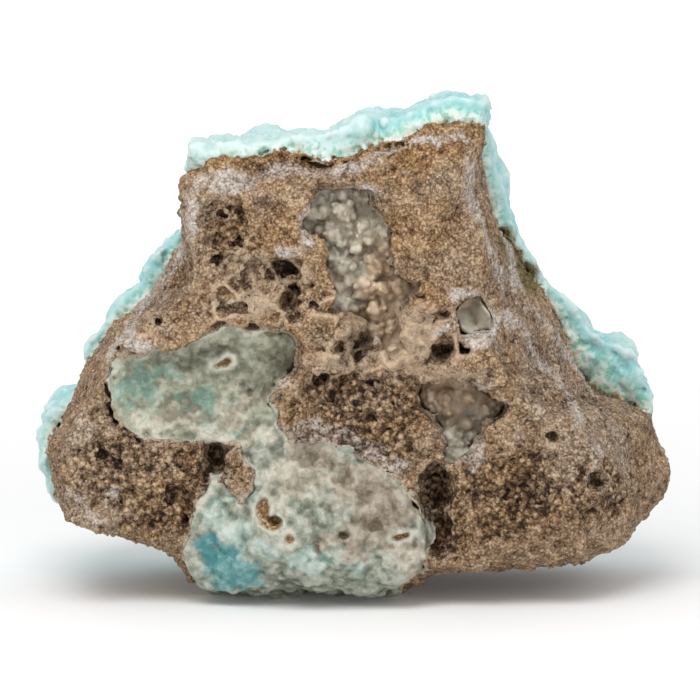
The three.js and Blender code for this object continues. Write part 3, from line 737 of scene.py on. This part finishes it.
for name, code, start, end, low, high in [
        ("pale", "a8937c", 0.15, 0.55, 0.1, 0.75), ("smear", milky, 0.1, 0.5, 0.4, 0.6),
        ("crest", "cfb597", 0.1, 0.4, 0.3, 0.95), ("lip", "c0ab93", 0.3, 0.55, 0, 0.6),
        ("olive", olive, 0, 1, 1, 1),
        ("fringe", "94825c", 0.45, 0.7, 0, 0.6), ("shore", "bdae99", 0.3, 0.55, 0.1, 0.8),
        ("white", milky, 0, 1, 0.9, 0.9)]:
    color = over(tree, color, code,
                 times(tree, mask_of(tree, name), stretch(tree, tone, start, end, low, high)))
color = over(tree, color, milky,
             times(tree, mask_of(tree, "vein"), stretch(tree, tint, 0.35, 0.6, 0.25, 0.95)))
height = plus(tree, grain.outputs["Grain"], times(tree, knobs, 1.6))
height = sums(tree, "SUBTRACT", height, times(tree, grain.outputs["Cracks"], 0.5))
finish_paint(tree, bsdf, color, (height, 0.8, 0.0005), {"Roughness": 0.85, "Specular IOR Level": 0.35})
host_rock.data.materials.append(rock_paint)
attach(host_rock, "root")
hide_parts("host_rock")


# Rind: a crust of sky-blue aragonite that grew over the top, the flanks and the back of the rock. Its outer
# skin is lumpy and icy pale. Where it is broken at the front, fibres cross bands of white and turquoise.
BROKEN_EDGE_Y = -17.0


def roots_of(points):
    """The place on the rock's flank from which each point of the rind grew, its height and its direction."""
    inner = points.copy()
    inner[:, 1] = np.maximum(inner[:, 1], BROKEN_EDGE_Y)
    height = rock_solid.at(inner)
    away = rock_solid.slope(inner, 1.2)
    return inner - away * height[:, None], height, away


def on_skin(points):
    _, height, away = roots_of(points)
    return ramp01(height, 2.0, 3.5) * ramp01((rind.slope(points) * away).sum(axis=1), 0.3, 0.7)


def on_back(points):
    return on_skin(points) * ramp01(points[:, 1], -4, 6)


def on_broken_edge(points):
    _, height, away = roots_of(points)
    return ramp01(height, 0.5, 1.5) * ramp01((rind.slope(points) * away).sum(axis=1), 0.6, 0.2)


rind, rind_seam = share_of("blue_rind", 2)
near, points = rind.near(2.4, rind_seam)
root, height, away = roots_of(points)
free = ramp01(-rind_seam.values[near], 0.0, 1.2)
outer = ramp01(height, 2.0, 4.5)
rind.values[near] += free * (
    0.35 + 0.35 * outer + (0.3 + 0.6 * outer) * noise(points, 7.0, 61) + 0.45 * noise(points, 3.2, 62)
    + 0.4 * noise(root, 1.6, 63) + 0.2 * noise(points, 1.4, 64) + 0.15 * noise(root, 0.8, 65))
raise_balls(rind, 110, (3.0, 6.5), 0.8, 2.2, 60, on_back)
raise_balls(rind, 260, (1.5, 3.0), 0.85, 1.0, 66, on_skin)
raise_balls(rind, 1700, (0.5, 1.2), 0.55, 0.3, 67, on_skin)
raise_balls(rind, 700, (0.45, 0.8), 0.5, 0.3, 68, on_broken_edge)
sink_balls(rind, 900, (0.42, 0.7), 0.4, 0.2, 69, on_broken_edge)
rind.values = np.maximum(rind.values, rind_seam.values - OVERLAP)
blue_rind = surface_of(rind, "rind")

points = mm_points(blue_rind.data)
normals = mm_normals(blue_rind.data)
root, height, away = roots_of(points)
facing_out = ramp01((normals * away).sum(axis=1), 0.35, 0.85)
inner = points - normals * 0.8
to_skin = np.full(len(points), 9.0, np.float32)
for step in np.arange(9.0, 0, -0.5):
    to_skin = np.where(whole.at(inner + away * step) > 0, step, to_skin)
layer = np.maximum(height / np.maximum(height + to_skin, 0.5), 0.85 * facing_out)
keep_mask(blue_rind, "layer", layer)
keep_mask(blue_rind, "height", height)
keep_mask(blue_rind, "skin", facing_out)
keep_relief(blue_rind, rind, 4)
keep_mask(blue_rind, "chalky",
          ramp01(-points[:, 0] + 3 * noise(points, 5.0, 70), -8, 4) * (points[:, 2] > 80))
keep_patches(blue_rind, [("olive", OLIVE, 0.8, 45)])
blue_rind.data.attributes.new("root", "FLOAT_VECTOR", "POINT").data.foreach_set("vector",
                                                                                (root / 1000).ravel())

milk, spot, per_metre, result = group_of("milky_clouds", 6.0, ["Clouds", "Blots", "Specks", "Frost"])
for label, scale, detail, roughness in [
        ("Clouds", per_metre, 4.0, 0.55), ("Blots", times(milk, per_metre, 2.6), 3.0, 0.6),
        ("Specks", 900.0, 2.0, 0.5), ("Frost", 2600.0, 3.0, 0.7)]:
    haze = put(milk, "ShaderNodeTexNoise",
               {"Vector": spot, "Scale": scale, "Detail": detail, "Roughness": roughness})
    milk.links.new(haze.outputs["Fac"], result[label])

rind_paint, tree, bsdf = new_material("blue_aragonite")
clouds = put(tree, "ShaderNodeGroup", {"Size mm": 5.0}, node_tree=milk)
root_place = put(tree, "ShaderNodeAttribute", attribute_name="root").outputs["Vector"]
fibres = put(tree, "ShaderNodeTexNoise",
             {"Vector": root_place, "Scale": 1300.0, "Detail": 3.0, "Roughness": 0.6})
band = plus(tree, mask_of(tree, "layer"), stretch(tree, clouds.outputs["Clouds"], 0.3, 0.7, -0.12, 0.12))
band = plus(tree, band, times(tree, sums(tree, "SUBTRACT", fibres.outputs["Fac"], 0.5), 0.5))
band = plus(tree, band, times(tree, sums(tree, "SUBTRACT", clouds.outputs["Specks"], 0.5), 0.3))
color = shades(tree, band, [
    (0.0, "7d6b42"), (0.07, "b3ad8a"), (0.15, "d4d8cc"), (0.36, "ccdcd5"), (0.5, "a3d0cc"), (0.64, "84c0c1"),
    (0.8, "a3cdce"), (1.0, "bed8d7")])
color = over(tree, color,
             shades(tree, band, [(0.05, "b9b294"), (0.2, "d4dad2"), (0.6, "c8dad5"), (1.0, "b9d3d1")]),
             times(tree, mask_of(tree, "chalky"), 0.8))
speck = times(tree, stretch(tree, clouds.outputs["Specks"], 0.5, 0.6), stretch(
    tree, mask_of(tree, "layer"), 0.75, 0.4))
color = over(tree, color, "74b89e", times(tree, speck, 0.7))
# Painted shade: a deeper blue laid into the rind's hollows.
hollow_shade = times(tree, stretch(tree, mask_of(tree, "relief"), 0.1, -0.6), 0.5)
color = over(tree, color, "82bfc0", hollow_shade)
color = over(tree, color,
             shades(tree, clouds.outputs["Blots"], [(0.35, "84bcc0"), (0.5, "a9d0d0"), (0.62, "cadedc")]),
             times(tree, mask_of(tree, "skin"), stretch(
    tree, clouds.outputs["Clouds"], 0.42, 0.62, 0, 0.6)))
# Painted light: a paler colour laid over the rind's bumps.
color = over(tree, color, "d6e2df", times(tree, stretch(tree, mask_of(tree, "relief"), 0.1, 0.7), 0.5))
grain = put(tree, "ShaderNodeGroup", {"Size mm": 0.4}, node_tree=grains)
brown = shades(tree, grain.outputs["Grain"], [(0.3, "4d3a20"), (0.5, "7d6440"), (0.7, "b09e7c")])
near_rock = plus(tree, mask_of(tree, "height"),
                 stretch(tree, grain.outputs["Crumbs"], 0.35, 0.65, 0.5, -0.5))
color = over(tree, color, brown, stretch(tree, near_rock, 0.9, 0.3, 0, 0.9))
color = over(tree, color,
             shades(tree, grain.outputs["Grain"], [(0.3, "2e2810"), (0.5, "6a5c30"), (0.7, "8f8048")]),
             mask_of(tree, "olive"))
texture = plus(tree, clouds.outputs["Frost"], fibres.outputs["Fac"])
finish_paint(tree, bsdf, color, (texture, 0.45, 0.0003), {
    "Roughness": 0.5, "Subsurface Weight": 0.3, "Subsurface Radius": (0.9, 1.0, 1.0),
    "Subsurface Scale": 0.0012})
blue_rind.data.materials.append(rind_paint)
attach(blue_rind, "root")
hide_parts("blue_rind")


# Lining of the large hollow: one mass of pale aragonite that grew in the hollow, sea-green in its left lobe,
# grey-beige in the middle and turquoise at the lower left. It is softly lumpy, with thin white rims.
TEAL = [(-39.6, 42.4, 4.5, 2.8), (-36.9, 43.9, 4, 2.4), (-41.4, 41.4, 2.5, 3), (-27, 38, 5, 1.6),
        (-24, 33, 4, 1.3)]
# Patches of painted shade on the large lining, some of them beside its crevices.
SHADY = [(-13.5, 47.5, 4.5, 3.5), (-17.5, 41, 4, 2.5), (-31, 46.5, 4, 2), (-24, 49, 7, 1.8),
         (-14.2, 21.1, 2.8, 2.2), (-1.6, 14.7, 1.4, 0.8), (-29, 35.8, 5, 1.4), (-12, 38, 3, 3)]
ROSY = [(2.0, 23.0, 7, 5.2), (-7, 29, 6, 3), (8, 19, 5, 4), (-2, 13, 5, 2), (11, 10, 3, 3), (4, 16, 6, 3)]
CREAM = [(-26.0, 31.5, 5, 2.2), (-35, 35.0, 6, 1.8), (-12.5, 20.5, 1.4, 2.6), (-9.6, 25.1, 6.4, 3.3),
         (-32.8, 38.4, 2.3, 1.6), (-22.7, 36.5, 3.6, 2.2), (-16.5, 32.5, 4, 2), (-20, 39, 3, 2),
         (-37, 35.5, 4, 1.3), (10.6, 10.4, 2.6, 3)]
MINT = [(-22.6, 14.1, 3.4, 3.6), (0.9, 8.0, 1.6, 1.2), (-26, 19, 2.5, 4), (-20, 22.5, 3, 2), (-8, 10, 5, 3),
        (-16, 12, 3, 2)]
TURQUOISE = [(-24.6, 9.0, 4.0, 3.2), (-21.6, 6.6, 4.6, 2.6), (-27.6, 11.4, 2.0, 3.0), (-19.0, 5.2, 2.6, 1.4),
             (-23.6, 4.4, 4.4, 1.8)]
ISLANDS = [(-16.5, 19.2, 1.3, 2.3), (-15.2, 17.0, 2.2, 1.0), (-11.4, 14.1, 1.1, 0.8), (9.2, 14.2, 2.1, 0.8),
           (-24.7, 45.9, 1.3, 0.6), (-23.6, 46.7, 0.8, 0.6)]
BANKS = [(x, z, w + 1.1, h + 1.1) for x, z, w, h in ISLANDS]
CREVICES = [(-14.3, 17.6, 1.5, 1.0, 3), (-1.6, 14.7, 1.2, 0.7, 1.2), (-19.4, 40.3, 0.5, 0.9, 1)]
BUBBLES = [(-26.3, 7.0), (-24.8, 5.9), (-23.3, 4.9), (1.9, 7.6), (3.8, 6.8), (6.1, 8.0), (8.3, 8.7),
           (11.0, 9.9), (-21.0, 4.2), (-2, 9.2), (-5.5, 7.4), (0, 11.5), (4.5, 10.6), (-8, 10.2), (7, 6.2),
           (-27.3, 8.6), (-25.6, 4.6), (-1, 5.1), (-11, 8.4), (2.6, 4.4), (-4, 12.4), (2.4, 12.0),
           (5.2, 12.6), (9.8, 7.4)]


def on_front(points):
    return ramp01(-large_seam.at(points), 0.3, 1.2) * ramp01(-points[:, 1], 12, 16)


def on_lower_front(points):
    return on_front(points) * ramp01(points[:, 2], 37, 31)


large, large_seam = share_of("large_hollow_lining", 6)
near, points = large.near(2.6, large_seam)
edge = ramp01(large_seam.values[near], -1.1, -0.4) * ramp01(-points[:, 1], 12, 16)
large.values[near] += 0.55 + 0.8 * noise(points, 7.0, 71) + 0.3 * noise(points, 3.0, 72) - 0.35 * edge
raise_balls(large, 130, (1.6, 3.6), 0.75, 1.2, 73, on_lower_front)
raise_balls(large, 420, (0.8, 1.6), 0.7, 0.6, 74, on_lower_front)
raise_balls(large, 500, (0.5, 0.9), 0.6, 0.4, 77, on_front)
mounds = np.array([[x, front_at(large, x, z) + sunk, z] for x, z,
                   sunk in [(-22.6, 14.1, 2.4), (0.9, 8.0, 1.0)]])
add_balls(large, mounds, np.array([3.4, 1.5], np.float32), 0.8)
near, points = large.near(2.0, large_seam)
island = patches(points, ISLANDS, 0.5, 76)
bank = patches(points, BANKS, 0.7, 76)
large.values[near] += 0.8 * island - 0.55 * bank
carve(large, CREVICES, 0.4, 80)
large.values = np.maximum(large.values, large_seam.values - OVERLAP)
large_lining = surface_of(large, "large_lining")

points = mm_points(large_lining.data)
rim = ramp01(large_seam.at(points) + 0.4 * noise(points, 2.2, 81), -0.5, -0.1)
keep_mask(large_lining, "rim", rim * (1 - patches(points, [(0, 31, 12, 6), (-11, 47, 3, 9)], 2.0, 84)))
keep_relief(large_lining, large, 4)
keep_patches(large_lining, [
    ("teal", TEAL, 2.6, 82), ("shady", SHADY, 2.2, 86), ("rosy", ROSY, 3.0, 85), ("cream", CREAM, 2.4, 88),
    ("mint", MINT, 1.8, 89), ("turquoise", TURQUOISE, 1.2, 87), ("island", ISLANDS, 0.5, 76),
    ("bank", BANKS, 0.7, 76)])
keep_mask(large_lining, "lobe",
          ramp01(points[:, 2] - 0.2 * points[:, 0] + 2.5 * noise(points, 5.0, 83), 36, 42))
away = np.min([np.hypot(points[:, 0] - x, points[:, 2] - z) for x, z in BUBBLES], axis=0)
keep_mask(large_lining, "bubble", 1 - ramp01(away + 0.2 * noise(points, 1.0, 90), 0.25, 0.7))

large_paint, tree, bsdf = new_material("pale_aragonite")
clouds = put(tree, "ShaderNodeGroup", {"Size mm": 6.0}, node_tree=milk)
mottle = plus(tree, times(tree, clouds.outputs["Clouds"], 0.5), times(
    tree, clouds.outputs["Blots"], 0.5))
# Painted shade in the lining's hollows and painted light on its bumps.
mottle = plus(tree, mottle, stretch(tree, mask_of(tree, "relief"), -0.4, 0.4, -0.14, 0.1))
mottle = plus(tree, mottle, stretch(tree, clouds.outputs["Specks"], 0.35, 0.65, -0.05, 0.05))
grain = put(tree, "ShaderNodeGroup", {"Size mm": 0.5}, node_tree=grains)
knobs = times(tree, sums(tree, "SUBTRACT", grain.outputs["Knobs"], 0.58), stretch(
    tree, clouds.outputs["Blots"], 0.35, 0.6, 0.2, 1.0))
# Painted light on the knobs' tops and painted shade between them.
mottle = plus(tree, mottle, times(tree, knobs, 0.1))
color = shades(tree, mottle, [(0.36, "5f6556"), (0.46, "838878"), (0.54, "979b8c"), (0.66, "b6b9aa")])
for name, share, stops in [
        ("lobe", 1.0, [(0.36, "6f715e"), (0.46, "8f917d"), (0.54, "a2a48f"), (0.66, "bcbeab")]),
        ("teal", 0.8, [(0.36, "668a7c"), (0.5, "86a293"), (0.66, "a6bcae")]),
        ("rosy", 0.85, [(0.36, "62523f"), (0.46, "867764"), (0.54, "988a78"), (0.66, "b3a796")]),
        ("mint", 0.85, [(0.36, "78948a"), (0.5, "a3b5aa"), (0.66, "c6d1c8")]),
        # The shady patches are painted shade.
        ("shady", 0.7, [(0.36, "42402f"), (0.5, "6c6855"), (0.66, "8b8772")]),
        ("cream", 0.8, [(0.36, "938a76"), (0.5, "b6ae9c"), (0.66, "d0cabb")]),
        ("turquoise", 1.0, [(0.36, "3c7d81"), (0.5, "558f90"), (0.66, "7fabaa")])]:
    color = over(tree, color, shades(tree, mottle, stops), times(tree, mask_of(tree, name), share))
color = over(tree, color, "43604f", times(tree, mask_of(tree, "bubble"), 0.6))
# Painted shade: a dark colour deep in the lining's hollows.
color = over(tree, color, "3f3d2c", stretch(tree, mask_of(tree, "relief"), -0.7, -1.6, 0, 0.85))
rim_share = stretch(tree, clouds.outputs["Blots"], 0.35, 0.6, 0.45, 0.95)
color = over(tree, color, "cbc8b9", times(tree, mask_of(tree, "rim"), rim_share))
color = over(tree, color, "ccc9bb", times(tree, mask_of(tree, "bank"), rim_share))
brown = shades(tree, grain.outputs["Grain"], [(0.3, "5e4122"), (0.5, "8b6a3e"), (0.7, "bba47c")])
color = over(tree, color, brown, mask_of(tree, "island"))
height = plus(tree, plus(tree, clouds.outputs["Frost"], clouds.outputs["Specks"]), times(tree, knobs, 1.5))
finish_paint(tree, bsdf, color, (height, 0.6, 0.0004), {
    "Roughness": 0.42, "Subsurface Weight": 0.3, "Subsurface Radius": (1.0, 1.0, 0.9),
    "Subsurface Scale": 0.0009})
large_lining.data.materials.append(large_paint)
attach(large_lining, "root")
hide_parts("large_hollow_lining")


# Crusts in the upper and the right hollow: small round lumps of translucent grey-green and tan aragonite,
# crowded together as they grew. Each crust is one piece, fast to the rock.
def crust(node, name, seed, counts):
    """A recessed crust with large, middling and small balls grown on its front."""
    form, seam = share_of(node, 3, CRUST_VOXEL)
    near, points = form.near(2.4, seam)
    form.values[near] += 0.25 + 0.5 * noise(points, 4.5, seed)

    def inside(points):
        return ramp01(-seam.at(points), 0.1, 0.5) * ramp01(-points[:, 1], 12, 15)

    for step, (count, smallest, largest) in enumerate(counts):
        raise_balls(form, count, (smallest, largest), 0.25, 0.12, seed + 1 + step, inside)
    form.values = np.maximum(form.values, seam.values - OVERLAP)
    piece = surface_of(form, name)
    keep_relief(piece, form, 6)
    return piece


upper_crust = crust("upper_hollow_lining", "upper_crust", 91,
                    [(60, 1.0, 1.8), (190, 0.6, 1.1), (260, 0.35, 0.6)])
right_crust = crust("right_hollow_lining", "right_crust", 96,
                    [(14, 1.0, 1.5), (70, 0.6, 1.0), (140, 0.3, 0.6)])
points = mm_points(upper_crust.data)
keep_mask(upper_crust, "warm", ramp01(
    0.5 * points[:, 0] - 0.35 * (points[:, 2] - 64) + 2.2 * noise(points, 4.0, 98), -1.5, 4.0))
keep_mask(upper_crust, "pale", patches(points, [
    (-6, 77.5, 3, 2.2), (-3, 67, 2.4, 3), (1, 64, 2, 2), (-1, 57.5, 3.5, 1.6), (6.5, 76, 1.5, 1.5)], 1.2,
    101))
points = mm_points(right_crust.data)
keep_mask(right_crust, "warm", ramp01(points[:, 2] + 1.6 * noise(points, 3.0, 99), 33.5, 38.5))
keep_mask(right_crust, "pale",
          patches(points, [(20, 28.6, 3, 2.2), (23.5, 31, 2, 2), (17, 31, 1.5, 2)], 1.0, 103))

crust_paint, tree, bsdf = new_material("grey_green_aragonite")
clouds = put(tree, "ShaderNodeGroup", {"Size mm": 3.5}, node_tree=milk)
# Painted shade in the gaps between the balls and painted light on their tops.
mottle = plus(tree, clouds.outputs["Clouds"], stretch(tree, mask_of(tree, "relief"), -0.4, 0.5, -0.06, 0.08))
color = shades(tree, mottle, [(0.34, "756c5b"), (0.48, "9f9583"), (0.6, "b8af9d"), (0.74, "d2cbbc")])
color = over(tree, color,
             shades(tree, mottle, [(0.34, "76624c"), (0.48, "a08a71"), (0.6, "b9a389"), (0.74, "d0bea7")]),
             mask_of(tree, "warm"))
# Painted shade: a dark colour in the deep gaps between the balls.
color = over(tree, color, "4a3e2f", stretch(tree, mask_of(tree, "relief"), -0.4, -1.2, 0, 0.8))
color = over(tree, color, shades(tree, mottle, [(0.34, "888373"), (0.5, "b0ac9c"), (0.7, "cac8bb")]),
             times(tree, mask_of(tree, "pale"), 0.85))
color = over(tree, color, "94703f", stretch(tree, clouds.outputs["Specks"], 0.64, 0.72, 0, 0.45))
finish_paint(tree, bsdf, color, (clouds.outputs["Frost"], 0.25, 0.0002), {
    "Roughness": 0.3, "Subsurface Weight": 0.5, "Subsurface Radius": (1.0, 0.9, 0.75),
    "Subsurface Scale": 0.0015})
for piece, node, slot in [(upper_crust, "upper_hollow_lining", "grey_green_aragonite"),
                          (right_crust, "right_hollow_lining", "grey_pink_aragonite")]:
    piece.data.materials.append(crust_paint)
    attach(piece, "root")
    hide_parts(node)


# Lining of the small pocket: a pale skin of aragonite that took the angular mould of a crystal long gone.
# The mould is the corner of a cube, with three smooth flat faces that meet at its deepest point.
CUBE_AXES = np.array([(0.816, 0.577, 0), (-0.408, 0.577, 0.707), (-0.408, 0.577, -0.707)], np.float32)
CUBE_HALF = 2.3
pocket, seam = share_of("small_pocket_lining", 3, CRUST_VOXEL)
near, points = pocket.near(6.0, seam)
middle = np.array([22.0, front_at(pocket, 22.0, 56.0) - 1.2, 56.0], np.float32)
mould = CUBE_HALF - np.abs((points - middle) @ CUBE_AXES.T).max(axis=1)
pocket.values[near] = np.maximum(pocket.values[near] + 0.3 + 0.3 * noise(points, 1.6, 105), mould)
pocket.values = np.maximum(pocket.values, seam.values - OVERLAP)
small_crust = surface_of(pocket, "pocket_crust")
points = mm_points(small_crust.data)
keep_relief(small_crust, pocket, 6)
face = ((points - middle) @ CUBE_AXES.T + 0.15 * noise(points, 1.0, 107)[:, None]).argmax(axis=1)
keep_mask(small_crust, "warm", 0.6 * (face == 1))
keep_mask(small_crust, "pale", 1.0 * (face == 2) + 0.4 * (face == 0))
small_crust.data.materials.append(crust_paint)
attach(small_crust, "root")
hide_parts("small_pocket_lining")
